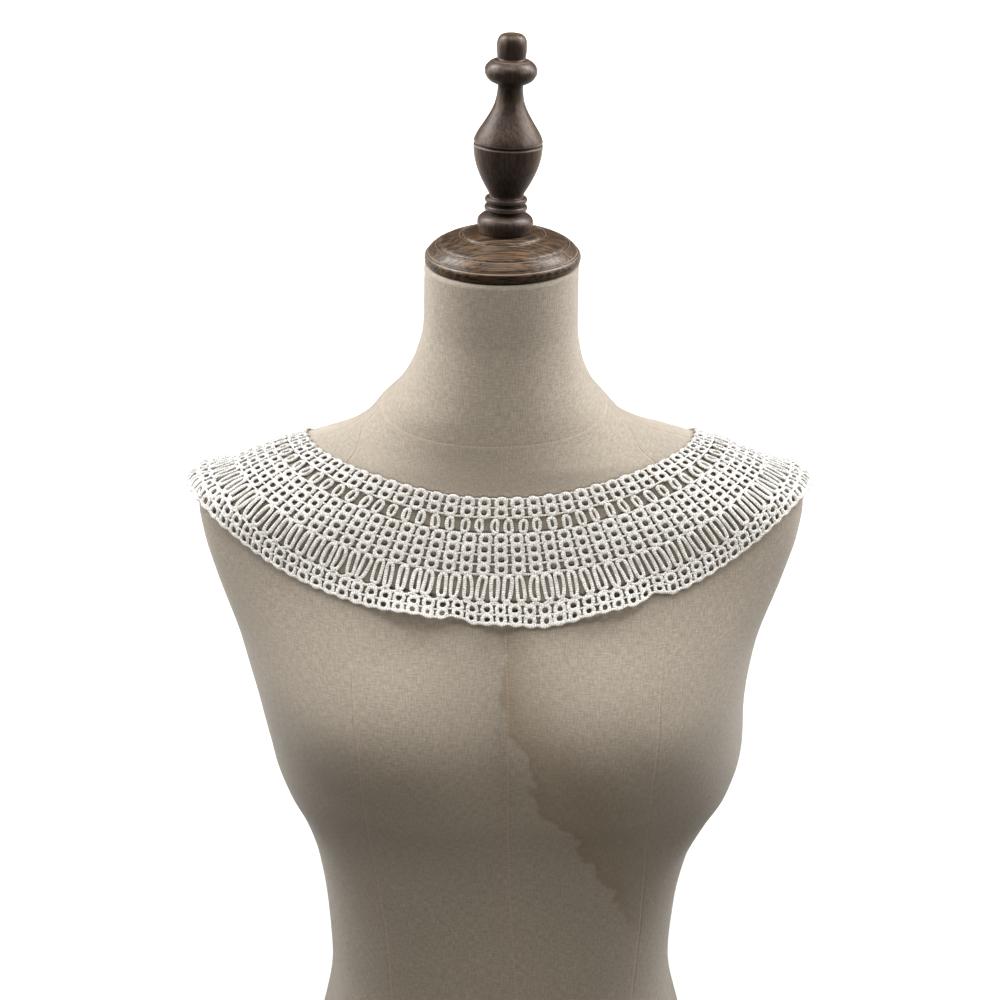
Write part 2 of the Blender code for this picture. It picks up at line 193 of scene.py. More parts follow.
def bust_swell(x, height):
    """How far the front stands out for the bust at this place across the form."""
    up = (height - BUST_HEIGHT) / np.where(
        height > BUST_HEIGHT, BUST_SPREAD_UP, BUST_SPREAD_DOWN
    )
    across = (np.abs(x) - BUST_APART) / BUST_SPREAD_SIDE
    return BUST_DEPTH * np.exp(-0.5 * up**2) * np.exp(-0.5 * across**2)


def form_points(angle, height):
    """Points of the form's surface. The angle runs from the front, 0, past the left side."""
    half_width, front, back, power, shift = form_section(height)
    side = np.sin(angle)
    ahead = np.cos(angle)
    x = half_width * np.sign(side) * np.abs(side) ** (2 / power)
    depth = np.where(ahead > 0, front, back)
    y = -depth * np.sign(ahead) * np.abs(ahead) ** (2 / power)
    facing_front = np.clip(ahead, 0, 1) ** 0.5
    y = y - bust_swell(x, height) * facing_front
    return np.stack([x + shift, y, height + 0 * x], axis=-1)


def form_levels(count):
    """Heights that are evenly spaced along the form's side outline, closer on the shoulders."""
    fine = np.linspace(0, NECK_TOP, 2000)
    half_width = form_section(fine)[0]
    run = np.hypot(np.diff(half_width), np.diff(fine))
    length = np.concatenate([[0], np.cumsum(run)])
    return np.interp(np.linspace(0, length[-1], count), length, fine)


def ring_faces(rows, columns, closed_rows=False):
    """Faces of a grid whose rows each close on themselves, and its columns too if they loop."""
    r = np.arange(rows if closed_rows else rows - 1)[:, None]
    c = np.arange(columns)[None, :]
    a = r * columns + c
    b = r * columns + (c + 1) % columns
    up = (r + 1) % rows
    return np.stack(
        [a, b, up * columns + (c + 1) % columns, up * columns + c], axis=-1
    ).reshape(-1, 4)


def mesh_from(name, points, quads, polygons=(), numbers=None, uv=None):
    """A mesh object from arrays, with numbers kept at its points and a map in metres."""
    faces = [tuple(face) for face in quads.tolist()] + [tuple(face) for face in polygons]
    mesh = bpy.data.meshes.new(name)
    mesh.from_pydata(points.tolist(), [], faces)
    for label, values in (numbers or {}).items():
        layer = mesh.attributes.new(label, "FLOAT", "POINT")
        layer.data.foreach_set("value", np.asarray(values, np.float32))
    if uv is not None:
        corner = np.empty(len(mesh.loops), np.int32)
        mesh.loops.foreach_get("vertex_index", corner)
        layer = mesh.uv_layers.new(name="cloth")
        flat = np.asarray(uv, np.float32)[corner]
        starts = np.arange(0, 4 * len(quads), 4)
        for k in range(1, 4):
            jump = flat[starts + k, 0] - flat[starts, 0]
            turns = np.round(jump / np.maximum(mesh_turn(uv), 1e-9))
            flat[starts + k, 0] -= (turns * mesh_turn(uv)).astype(np.float32)
        layer.data.foreach_set("uv", flat.ravel())
    mesh.shade_smooth()
    made = bpy.data.objects.new(name, mesh)
    bpy.context.scene.collection.objects.link(made)
    return made


def mesh_turn(uv):
    """The map's whole width, which a face across its join would otherwise span."""
    return float(np.max(uv[:, 0]) - np.min(uv[:, 0])) if len(uv) else 0.0


def frame_shift():
    """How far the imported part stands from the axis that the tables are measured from."""
    low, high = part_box("neck_cap")
    middle = (low + high) / 2
    return np.array([middle.x - CAP_PLACE, middle.y, 0])


# Turned wood, as in the part, with the small fillets and grooves of the lathe.
CAP_PLACE = 1 * MM
CAP_OUTLINE = (
    (0, 0), (46.6, 0), (48.3, 0.7), (49, 2.3), (49, 4.6), (48.5, 6), (47.7, 6.7), (47.1, 6.7),
    (46.9, 7.4), (46.4, 8.4), (44.6, 10.2), (42.6, 11.8), (41.6, 12.2), (41.2, 11.8),
    (40.6, 12), (40.2, 12.9), (38.6, 13.9), (34, 15.7), (29.6, 17.2), (27.2, 18),
    (26.4, 18), (26, 17.6), (25.4, 17.7), (25, 18.5), (23.6, 19.2), (20.6, 19.8), (18, 20),
    (0, 20),
)
# Spots on the cap's outline (radius, height, reach) painted paler: partly varnish thinned on the
# ridges, partly a painted highlight along them.
CAP_THIN_VARNISH_AND_HIGHLIGHT = ((48.1, 6.6, 0.7), (41.8, 12.3, 0.7), (26.8, 18.1, 0.6), (46.9, 7.4, 0.5))
FINIAL_PLACE = 2.4 * MM
FINIAL_LEAN_LEFT = math.radians(2.1)
FINIAL_LEAN_BACK = math.radians(1.5)
FINIAL_OUTLINE = (
    (0, -2), (16.2, -2), (16.5, 0), (17, 2.2), (17.5, 4.4), (17.6, 6.2), (17, 8.2),
    (15.6, 9.8), (13.4, 11), (11.6, 11.6), (11.2, 12.1), (11.4, 12.7), (12.8, 13.2),
    (13.4, 14.2), (13.4, 15.6), (12.7, 16.6), (11.3, 17), (11.1, 17.6), (11.3, 18.2),
    (12.7, 18.6), (13.3, 19.5), (13.2, 20.8), (12.4, 21.7), (11, 22.1), (10.7, 22.8),
    (11, 24.2), (12.8, 27.2), (15.6, 32.2), (18.8, 39.4), (20.6, 45.6), (21.3, 50.6),
    (21.5, 53.6), (21.5, 54.7), (20.9, 55.1), (20.5, 55.3), (20.5, 55.9), (20.9, 56.1),
    (21.4, 56.4), (21.3, 57.5), (20.6, 59.4), (19, 62.6), (16.7, 66.2), (14.2, 70.2),
    (11.9, 74.2), (10.2, 77.8), (9, 81.2), (8.3, 84.8), (7.9, 88.6), (7.8, 91.4),
    (8.4, 92.2), (10.8, 92.9), (13.6, 94.6), (15.7, 97.4), (16.3, 100.2), (15.7, 102.8),
    (13.8, 105.2), (11, 106.8), (8.9, 107.5), (8.6, 108.2), (9, 110), (9.3, 114),
    (9.2, 117.4), (8.5, 120.2), (6.6, 122.2), (3.6, 123), (0, 123.1),
)
# Spots on the finial's outline (radius, height, reach) painted paler: partly varnish thinned on
# the ridges, partly a painted highlight along them.
FINIAL_THIN_VARNISH_AND_HIGHLIGHT = (
    (21.5, 54.4, 0.5), (21.4, 56.8, 0.5), (13.4, 14.6, 0.6), (13.3, 19.6, 0.5),
    (11.3, 106.8, 0.6),
)


def rounded(outline, passes):
    """The outline with its corners cut off again and again, which leaves soft turned edges."""
    line = np.array(outline, float)
    for _ in range(passes):
        near = line[:-1] * 0.75 + line[1:] * 0.25
        far = line[:-1] * 0.25 + line[1:] * 0.75
        middle = np.stack([near, far], axis=1).reshape(-1, 2)
        line = np.concatenate([line[:1], middle, line[-1:]])
    return line


def turned(name, outline, varnish_and_highlight_spots, sides, place):
    """The outline turned about Z, with how much each point is painted paler: varnish thinned on
    the ridges, and a painted highlight along the ridges and groove edges.
    """
    line = rounded(outline, 2)
    angle = np.linspace(0, 2 * math.pi, sides, endpoint=False)
    body = line[1:-1]
    ring = np.stack([np.sin(angle), -np.cos(angle)], axis=-1)
    points = np.concatenate(
        [
            body[:, None, :1] * ring[None],
            np.broadcast_to(body[:, None, 1:], (len(body), sides, 1)),
        ],
        axis=-1,
    ).reshape(-1, 3)
    # Each point's share of the paler paint: thinned varnish and a painted highlight together.
    thin_varnish_and_highlight = np.zeros(len(body))
    for radius, height, reach in varnish_and_highlight_spots:
        gap = np.hypot(body[:, 0] - radius, body[:, 1] - height)
        thin_varnish_and_highlight = np.maximum(thin_varnish_and_highlight, np.exp(-((gap / reach) ** 2)))
    quads = ring_faces(len(body), sides)
    foot = len(points)
    points = np.concatenate([points, [[0, 0, line[0, 1]], [0, 0, line[-1, 1]]]])
    fans = []
    last = (len(body) - 1) * sides
    for i in range(sides):
        j = (i + 1) % sides
        fans.append((i, foot, j))
        fans.append((last + i, last + j, foot + 1))
    varnish_and_highlight_values = np.concatenate([np.repeat(thin_varnish_and_highlight, sides), [0, 0]])
    return mesh_from(name, place(points * MM), quads, fans, {"thin_varnish_and_highlight": varnish_and_highlight_values})


def finial_place(points):
    """Leans the finial as the photo shows, and keeps its foot level on the cap."""
    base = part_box("finial")[0].z
    tilt_y = np.array(
        [
            [math.cos(FINIAL_LEAN_LEFT), 0, math.sin(FINIAL_LEAN_LEFT)],
            [0, 1, 0],
            [-math.sin(FINIAL_LEAN_LEFT), 0, math.cos(FINIAL_LEAN_LEFT)],
        ]
    )
    back = -FINIAL_LEAN_BACK
    tilt_x = np.array(
        [[1, 0, 0], [0, math.cos(back), -math.sin(back)], [0, math.sin(back), math.cos(back)]]
    )
    moved = points @ (tilt_y @ tilt_x).T
    moved[:, 2] = np.maximum(moved[:, 2], 0)
    return moved + frame_shift() + [FINIAL_PLACE, 0, base]


def cap_place(points):
    return points + frame_shift() + [CAP_PLACE, 0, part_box("neck_cap")[0].z]


# Linen cover


def seam_angle(table, height, back=False):
    """The angle at which a seam crosses each level."""
    places = np.array(table, float) * MM
    half_width, _, _, power, shift = form_section(height)
    across = (np.interp(height, places[:, 0], places[:, 1]) - shift) / half_width
    angle = np.sign(across) * np.arcsin(np.clip(np.abs(across), 0, 0.98) ** (power / 2))
    return np.sign(across) * math.pi - angle if back else angle


def neck_seam_height(angle):
    """The seam round the neck's base dips at the front and is highest at the back."""
    return NECK_SEAM_FRONT + NECK_SEAM_RISE * (1 - np.cos(angle)) / 2 * (
        1 + 0.5 * np.sin(angle) ** 2
    )


def panel_columns(row_length, seams, spacing):
    """Places round one level: on each seam, close beside it, and evenly over each panel."""
    ends = np.append(seams, seams[0] + row_length)
    places = []
    from_seam = []
    for start, end, count in zip(ends, ends[1:], spacing):
        inner = np.linspace(start + 2.2 * SEAM_STEPS[-1], end - 2.2 * SEAM_STEPS[-1], count)
        near = start + np.array(SEAM_STEPS)
        far = end - np.array(SEAM_STEPS[:0:-1])
        line = np.concatenate([near, inner, far])
        places.append(line)
        from_seam.append(np.minimum(line - start, end - line))
    return np.concatenate(places), np.concatenate(from_seam)


def linen_cover():
    """The form in its sewn cover: every seam is a line of points pressed into the surface."""
    heights = form_levels(COVER_LEVELS)
    seam_rows = NECK_SEAM_FRONT + np.array([-1.2, -0.55, 0, 0.55, 1.2]) * MM
    heights = heights[np.abs(heights - NECK_SEAM_FRONT) > 1.6 * MM]
    heights = np.sort(np.concatenate([heights, seam_rows]))
    fine = np.linspace(-math.pi, math.pi, 1441)
    back = np.array(BACK_SEAM, float)
    back_right = np.stack([back[:, 0], -back[:, 1]], axis=1)
    angles = []
    gaps = []
    along = []
    for height in heights:
        level = np.array([height])
        loop = form_points(fine, np.full(len(fine), height))
        run = np.linalg.norm(np.diff(loop, axis=0), axis=1)
        length = np.concatenate([[0], np.cumsum(run)])
        crossings = [
            -math.pi,
            float(seam_angle(back_right, level, True)[0]),
            -math.pi / 2,
            float(seam_angle(RIGHT_FRONT_SEAM, level)[0]),
            float(seam_angle(CENTRE_FRONT_SEAM, level)[0]),
            float(seam_angle(LEFT_FRONT_SEAM, level)[0]),
            math.pi / 2,
            float(seam_angle(back, level, True)[0]),
        ]
        seams = np.interp(crossings, fine, length)
        places, from_seam = panel_columns(length[-1], seams, PANEL_POINTS)
        angles.append(np.interp(places, length, fine))
        gaps.append(from_seam)
        along.append(places - seams[4])
    angles = np.array(angles)
    gaps = np.array(gaps)
    along = np.array(along)
    rise = neck_seam_height(angles) - NECK_SEAM_FRONT
    reach = np.clip(1 - np.abs(heights - NECK_SEAM_FRONT) / (60 * MM), 0, 1)
    reach = (reach * reach * (3 - 2 * reach))[:, None]
    level = heights[:, None] + rise * reach
    grid = form_points(angles, level)

    around = np.roll(grid, -1, axis=1) - np.roll(grid, 1, axis=1)
    upward = np.gradient(grid, axis=0)
    out = np.cross(around, upward)
    out /= np.maximum(np.linalg.norm(out, axis=-1), 1e-12)[..., None]
    below_neck = heights[:, None] < NECK_SEAM_FRONT - 0.2 * MM
    body_gap = np.where(below_neck, gaps, 1)
    neck_gap = np.abs(heights - NECK_SEAM_FRONT)[:, None] + 0 * gaps
    gap = np.minimum(body_gap, neck_gap)
    depth = np.where(neck_gap < body_gap, NECK_SEAM_DEPTH, SEAM_DEPTH)
    pressed = depth * np.exp(-((gap / (0.5 * MM)) ** 2))
    raised = 0.25 * depth * np.exp(-(((gap - 1.2 * MM) / (0.6 * MM)) ** 2))
    grid = grid + out * (raised - pressed)[..., None]
    grid[0, :, 2] = 0
    grid[-1, :, 2] = NECK_TOP

    climb = np.linalg.norm(np.diff(grid, axis=0), axis=-1).mean(axis=1)
    upto = np.concatenate([[0], np.cumsum(climb)])[:, None] + 0 * along
    points = grid.reshape(-1, 3)
    front = points[:, 1] < 0
    edge, fade = stain_distance(points[:, 0], points[:, 2])
    numbers = {
        "seam": np.minimum(gap, 20 * MM).ravel(),
        "stain": np.where(front, edge, -1),
        "stain_fade": np.where(front, fade, 0),
    }
    columns = grid.shape[1]
    last = (len(heights) - 1) * columns
    ends = [tuple(range(columns))[::-1], tuple(range(last, last + columns))]
    return mesh_from(
        "linen_cover",
        points + frame_shift(),
        ring_faces(len(heights), columns),
        ends,
        numbers,
        np.stack([along.ravel(), upto.ravel()], axis=1),
    )


def stain_distance(x, height):
    """How far inside the stain's edge each place is, and how strong the stain is there."""
    line = np.array(STAIN_EDGE, float) * MM
    place = np.stack([x, height], axis=1)
    best = np.full(len(x), 1.0)
    for start, end in zip(line, line[1:]):
        run = end - start
        share = np.clip(((place - start) @ run) / (run @ run), 0, 1)
        gap = np.linalg.norm(place - start - share[:, None] * run, axis=1)
        nearer = gap < best
        best = np.where(nearer, gap, best)
    edge_x = np.interp(height, line[::-1, 1], line[::-1, 0])
    inside = x > edge_x
    fade_line = np.array(STAIN_FADE[::-1], float) * MM
    fade_x = np.interp(height, fade_line[:, 0], fade_line[:, 1])
    fade = np.clip((fade_x - x) / STAIN_SOFT_SIDE, 0, 1)
    low, high = line[-1, 1], line[0, 1]
    within = np.clip((height - low) / STAIN_SOFT_FOOT, 0, 1) * (height < high)
    return np.where(inside, best, -best), fade * within


# Lace


def spread_evenly(points, count):
    """The same line through this many points, all the same distance apart."""
    run = np.linalg.norm(np.diff(points, axis=0), axis=1)
    length = np.concatenate([[0], np.cumsum(run)])
    where = np.linspace(0, length[-1], count)
    return np.stack([np.interp(where, length, points[:, i]) for i in range(3)], axis=1)


def softened(values):
    """One pass of smoothing along a row, with the ends mirrored in the centre plane."""
    mirror = np.array([-1, 1, 1])
    padded = np.concatenate([[values[1] * mirror], values, [values[-2] * mirror]])
    return (padded[:-2] + 2 * padded[1:-1] + padded[2:]) / 4


class DrapedStrip:
    """The collar's left half as a grid on the form, in rows from the neck edge to the hem."""

    def __init__(self):
        heights = form_levels(400)
        angles = np.linspace(0, 2 * math.pi, 256, endpoint=False)
        grid = form_points(angles[None, :], heights[:, None])
        quads = ring_faces(*grid.shape[:2])
        surface = BVHTree.FromPolygons(grid.reshape(-1, 3).tolist(), quads.tolist())
        line = self.neckline(surface)
        rows = []
        normals = []
        for _ in range(math.ceil(HEM / STRIP_STEP) + 3):
            found = [surface.find_nearest(Vector(point)) for point in line]
            line = self.centred(np.array([hit[0] for hit in found]))
            up = np.array([hit[1] for hit in found])
            for _ in range(4):
                up = softened(up)
            up /= np.linalg.norm(up, axis=1)[:, None]
            rows.append(line)
            normals.append(up)
            line = spread_evenly(self.next_row(line, up), STRIP_POINTS)
        self.grid = np.array(rows)
        self.normals = np.array(normals)
        self.row_lengths = np.linalg.norm(np.diff(self.grid, axis=1), axis=2).sum(axis=1)

    @staticmethod
    def neckline(surface):
        """The neck edge on the form's left half, from the centre front to the centre back."""
        angle = np.linspace(0, math.pi, 724)
        ahead = np.cos(angle)
        share = 2 / NECKLINE_POWER
        depth = np.where(ahead > 0, NECKLINE_FRONT, NECKLINE_BACK)
        x = NECKLINE_HALF_WIDTH * np.sin(angle) ** share
        y = NECKLINE_SET_BACK - depth * np.sign(ahead) * np.abs(ahead) ** share
        down = Vector((0, 0, -1))
        hits = [surface.ray_cast(Vector((a, b, NECK_TOP)), down)[0] for a, b in zip(x, y)]
        return spread_evenly(np.array(hits), STRIP_POINTS)

    @staticmethod
    def centred(line):
        line[[0, -1], 0] = 0
        return line

    def next_row(self, line, up):
        """The row moved one step away from the neck, square to itself along the surface."""
        along = np.gradient(line, axis=0)
        along[[0, -1]] = (1, 0, 0), (-1, 0, 0)
        out = np.cross(along, up)
        out /= np.linalg.norm(out, axis=1)[:, None]
        moved = line + STRIP_STEP * out
        for _ in range(2):
            moved[1:-1] = softened(moved)[1:-1]
        return self.centred(moved)

    def length_at(self, away):
        """Half the way round at these distances from the neck edge."""
        return np.interp(away, STRIP_STEP * np.arange(len(self.grid)), self.row_lengths)

    def lookup(self, values, along, away):
        """Values of the grid between its points."""
        row = np.clip(away / STRIP_STEP, 0, len(values) - 1.001)
        column = np.clip(along, 0, 1) * (STRIP_POINTS - 1)
        r = np.floor(row).astype(int)
        c = np.minimum(np.floor(column).astype(int), STRIP_POINTS - 2)
        fr = (row - r)[:, None]
        fc = (column - c)[:, None]
        near = values[r, c] * (1 - fc) + values[r, c + 1] * fc
        far = values[r + 1, c] * (1 - fc) + values[r + 1, c + 1] * fc
        return near * (1 - fr) + far * fr

    @staticmethod
    def swells(table, place):
        """The sum of the table's rounded swells, at these places along the hem."""
        total = np.zeros(len(place))
        for middle, reach, height in table:
            share = (place - middle * MM) / (reach * MM)
            total += height * MM * np.cos(np.clip(share, -1, 1) * math.pi / 2) ** 2
        return total

    def place(self, along, away, lift):
        """Points on the form. Along runs from -1 to 1 round the whole collar from the back."""
        side = np.where(along < 0, -1.0, 1.0)
        share = np.abs(along)
        above = np.maximum(-away, 0)
        away = np.maximum(away, 0)
        hem_lift = self.swells(HEM_WAVES, along * self.length_at(HEM))
        hem_pull = self.swells(HEM_PULLS, along * self.length_at(HEM))
        width = HEM - WAVE_ROOT
        down = np.clip((away - WAVE_ROOT) / width, 0, 1)
        taken_up = 2 / 3 * hem_lift**2 / width * down**3 + hem_pull * down**2
        spot = self.lookup(self.grid, share, away - taken_up)
        up = self.lookup(self.normals, share, away - taken_up)
        up /= np.linalg.norm(up, axis=1)[:, None]
        beyond = spot - self.lookup(self.grid, share, away - taken_up + STRIP_STEP)
        spot = spot + beyond * (above / STRIP_STEP)[:, None]
        made = spot + up * (lift + hem_lift * down**2)[:, None]
        made[:, 0] *= side
        return made


class CordWork:
    """Collects cords laid out flat, in (share round, metres round, metres down, metres up), and
    turns them into tubes on the form."""

    def __init__(self, strip):
        self.strip = strip
        self.points = []
        self.quads = []
        self.ends = []
        self.runs = []
        self.count = 0

    def add(self, along, down, up, quads, run):
        """Lays points of cords on the form, with their faces and the run along each cord."""
        placed = self.strip.place(along.ravel(), down.ravel(), LACE_MIDDLE + up.ravel())
        self.points.append(placed)
        self.quads.append(quads + self.count)
        self.runs.append(run)
        self.count += len(placed)

    def loops(self, shares, across, away, radius, flatness):
        """Closed cords of equal numbers of points, as arrays of (cords, points)."""
        count, steps = away.shape
        forward_a = np.roll(across, -1, axis=1) - np.roll(across, 1, axis=1)
        forward_w = np.roll(away, -1, axis=1) - np.roll(away, 1, axis=1)
        size = np.maximum(np.hypot(forward_a, forward_w), 1e-9)
        phase = np.linspace(0, 2 * math.pi, CORD_SIDES, endpoint=False)
        wide = radius[..., None] * np.cos(phase)
        ring_a = across[..., None] - (forward_w / size)[..., None] * wide
        ring_w = away[..., None] + (forward_a / size)[..., None] * wide
        ring_up = radius[..., None] * flatness * np.sin(phase)
        length = self.strip.length_at(np.clip(ring_w, 0, HEM))
        half = (length - BACK_OPENING / 2) / length
        along = shares[:, None, None] * half + ring_a / length
        step = np.hypot(np.diff(across, axis=1), np.diff(away, axis=1))
        run = np.concatenate([np.zeros((count, 1)), np.cumsum(step, axis=1)], axis=1)
        starts = steps * CORD_SIDES * np.arange(count)
        face = ring_faces(steps, CORD_SIDES, closed_rows=True)
        quads = (face[None] + starts[:, None, None]).reshape(-1, 4)
        self.add(along, ring_w, ring_up, quads, np.repeat(run.ravel(), CORD_SIDES))

    def rings(self, count, gap_at_front, away, half_wide, half_high, cord, uneven=1.0, **shape):
        """A row of rings, ovals or tall loops, no two quite alike, as threads pull them."""
        shares = places_round(count, gap_at_front)
        count = len(shares)
        steps = shape.get("steps", 22)
        power = shape.get("power", 2.25)
        phase = np.linspace(0, 2 * math.pi, steps, endpoint=False)
        wide = half_wide * (1 + uneven * HAND.normal(0, 0.04, count))[:, None]
        high = half_high * (1 + uneven * HAND.normal(0, 0.025, count))[:, None]
        c = np.cos(phase)
        s = np.sin(phase)
        across = wide * np.sign(c) * np.abs(c) ** (2 / power)
        down = high * np.sign(s) * np.abs(s) ** (2 / power)
        turn = HAND.normal(0, uneven * math.radians(3), count)[:, None]
        bend = HAND.normal(0, uneven * shape.get("bend", 0.05), count)[:, None]
        pinch = HAND.normal(0, uneven * shape.get("pinch", 0.05), count)[:, None]
        across = across * (1 + pinch * down / high)
        across, down = (
            across * np.cos(turn) - down * np.sin(turn),
            across * np.sin(turn) + down * np.cos(turn),
        )
        across = across + bend * down**2 / high
        across = across + uneven * HAND.normal(0, 0.2 * MM, count)[:, None]
        away = away + down + uneven * HAND.normal(0, 0.1 * MM, count)[:, None]
        swell = 1 + 0.07 * np.sin(3 * phase + HAND.uniform(0, 6, count)[:, None])
        thick = cord * swell * (1 + HAND.normal(0, 0.04, count))[:, None]
        self.loops(shares, across, away, thick, shape.get("flatness", 0.66))

    def line(self, away, cord, scallop=0.0, per_round=0, start=0.0, flatness=0.8):
        """A cord that runs the whole way round at this distance from the neck edge."""
        spacing = 1.3 * MM if scallop else 2 * MM
        steps = int(2 * self.strip.length_at(away) / spacing)
        shares = np.linspace(-1, 1, steps)
        wave = scallop * np.cos(math.pi * per_round * (shares + start))
        drift = 0.12 * MM * np.sin(shares * 61) + 0.1 * MM * np.sin(shares * 143 + 1)
        down = away + wave + drift
        thick = cord * (1 + 0.08 * np.sin(shares * 397) + 0.05 * np.sin(shares * 211 + 2))
        length = self.strip.length_at(np.clip(down, 0, HEM))
        forward = np.gradient(shares * length)
        fall = np.gradient(down)
        size = np.hypot(forward, fall)
        phase = np.linspace(0, 2 * math.pi, LINE_SIDES, endpoint=False)
        ring_a = -(thick * fall / size)[:, None] * np.cos(phase)
        ring_w = down[:, None] + (thick * forward / size)[:, None] * np.cos(phase)
        ring_up = thick[:, None] * flatness * np.sin(phase)
        there = self.strip.length_at(np.clip(ring_w, 0, HEM))
        along = shares[:, None] * (there - BACK_OPENING / 2) / there + ring_a / there
        first = self.count
        last = self.count + (steps - 1) * LINE_SIDES
        self.ends.append(tuple(range(first, first + LINE_SIDES))[::-1])
        self.ends.append(tuple(range(last, last + LINE_SIDES)))
        run = np.repeat(shares * length, LINE_SIDES)
        self.add(along, ring_w, ring_up, ring_faces(steps, LINE_SIDES), run)

    def piece(self, name):
        points = np.concatenate(self.points) + frame_shift()
        run = {"run": np.concatenate(self.runs)}
        return mesh_from(name, points, np.concatenate(self.quads), self.ends, run)


def places_round(count, gap_at_front):
    """Where the repeats stand round the collar, with a gap or a repeat at the centre front."""
    if gap_at_front:
        return (np.arange(-count // 2, count // 2) + 0.5) * 2 / count
    half = count // 2
    return np.arange(-half, half + 1) * 2 / count


def cut_size(strip, start, end):
    """Width and mean length of a band of the strip, from one distance to the next."""
    return end - start, 2 * float(strip.length_at((start + end) / 2)) - BACK_OPENING


def upper_lace(strip):
    """Two rows of rings along the neck, and the row of small ovals."""
    work = CordWork(strip)
    work.line(1.1 * MM, 0.55 * MM, 0.35 * MM, 67)
    for away in (3.6, 9.4):
        work.rings(67, False, away * MM, 3.05 * MM, 2.85 * MM, RING_CORD, 0.8)
    work.line(6.5 * MM, 0.7 * MM)
    work.line(12.4 * MM, 0.72 * MM)
    work.rings(
        82, True, 18.0 * MM, 1.95 * MM, 3.8 * MM, 1.14 * MM, 1.7,
        power=2.6, steps=24, flatness=0.8,
    )
    return work.piece("upper_lace")


def middle_lace(strip):
    """Four rows of rings between five cords."""
    work = CordWork(strip)
    for away in (26.6, 32.7, 38.8, 44.9):
        work.rings(81, False, away * MM, 3.15 * MM, 3.0 * MM, RING_CORD, 0.8)
    work.line(23.0 * MM, 0.66 * MM)
    for away in (29.65, 35.75, 41.85):
        work.line(away * MM, 0.74 * MM)
    work.line(48.3 * MM, 0.8 * MM)
    return work.piece("middle_lace")


def lower_lace(strip):
    """The tall loops, two rows of rings, and the corded hem."""
    work = CordWork(strip)
    work.rings(
        114, True, 57.1 * MM, 2.2 * MM, 7.55 * MM, 1.28 * MM, 1.2,
        power=4.0, steps=36, bend=0.04, pinch=0.1, flatness=0.8,
    )
    for away in (70.6, 76.6):
        work.rings(109, False, away * MM, 2.85 * MM, 2.8 * MM, 1.28 * MM, 1.5)
    work.line(66.5 * MM, 0.9 * MM, 0.95 * MM, 114)
    work.line(67.4 * MM, 0.75 * MM, 0.5 * MM, 109)
    work.line(73.6 * MM, 0.72 * MM)
    work.line(79.4 * MM, 1.05 * MM, 0.5 * MM, 109)
    return work.piece("lower_lace")


# Materials


def colour(code):
    """A linear colour from an sRGB hex value."""
    parts = [int(code[i : i + 2], 16) / 255 for i in (1, 3, 5)]
    linear = [p / 12.92 if p <= 0.04045 else ((p + 0.055) / 1.055) ** 2.4 for p in parts]
    return (*linear, 1)


def put(tree, kind, inputs=None, **settings):
    """Adds one node, with its settings, and with numbers or other nodes' sockets as inputs."""
    made = tree.nodes.new(kind)
    for name, value in settings.items():
        setattr(made, name, value)
    for name, value in (inputs or {}).items():
        if isinstance(value, bpy.types.NodeSocket):
            tree.links.new(value, made.inputs[name])
        else:
            made.inputs[name].default_value = value
    return made


def new_material(name):
    """A material with an empty tree but for its shader and output."""
    material = bpy.data.materials.new(name)
    material.use_nodes = True
    tree = material.node_tree
    tree.nodes.clear()
    shader = put(tree, "ShaderNodeBsdfPrincipled")
    put(tree, "ShaderNodeOutputMaterial", {"Surface": shader.outputs[0]})
    return material, tree, shader


